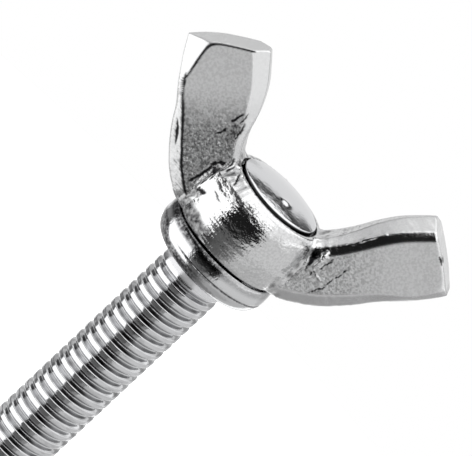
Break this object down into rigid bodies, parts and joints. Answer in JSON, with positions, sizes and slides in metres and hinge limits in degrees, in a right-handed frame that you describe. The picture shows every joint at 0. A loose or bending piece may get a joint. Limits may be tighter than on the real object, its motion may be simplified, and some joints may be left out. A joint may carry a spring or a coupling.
{
  "type": "wing screw",
  "caption": "Hand-turned screw with a forged, V-shaped wing head, a seating collar under the hub and a right-hand metric threaded stud ending in a shallow dome.",
  "frame": {"origin": "on the screw's axis, in the plane of the collar's underside where the screw seats", "axes": "+Z along the axis from the threaded tip to the domed end, +X from one wing to the other, +Y through the wings' thickness"},
  "size_m": [0.0287, 0.0106, 0.0464],
  "materials": {
    "wing_head": "bright plated forged steel, glossy on the hub and satin on the wing faces",
    "collar": "bright plated steel, turned and tumbled",
    "threaded_stud": "bright plated steel, rolled thread and polished dome"
  },
  "bodies": {
    "root": {"wing_head": "wing_head", "collar": "collar", "threaded_stud": "threaded_stud"}
  },
  "joints": []
}
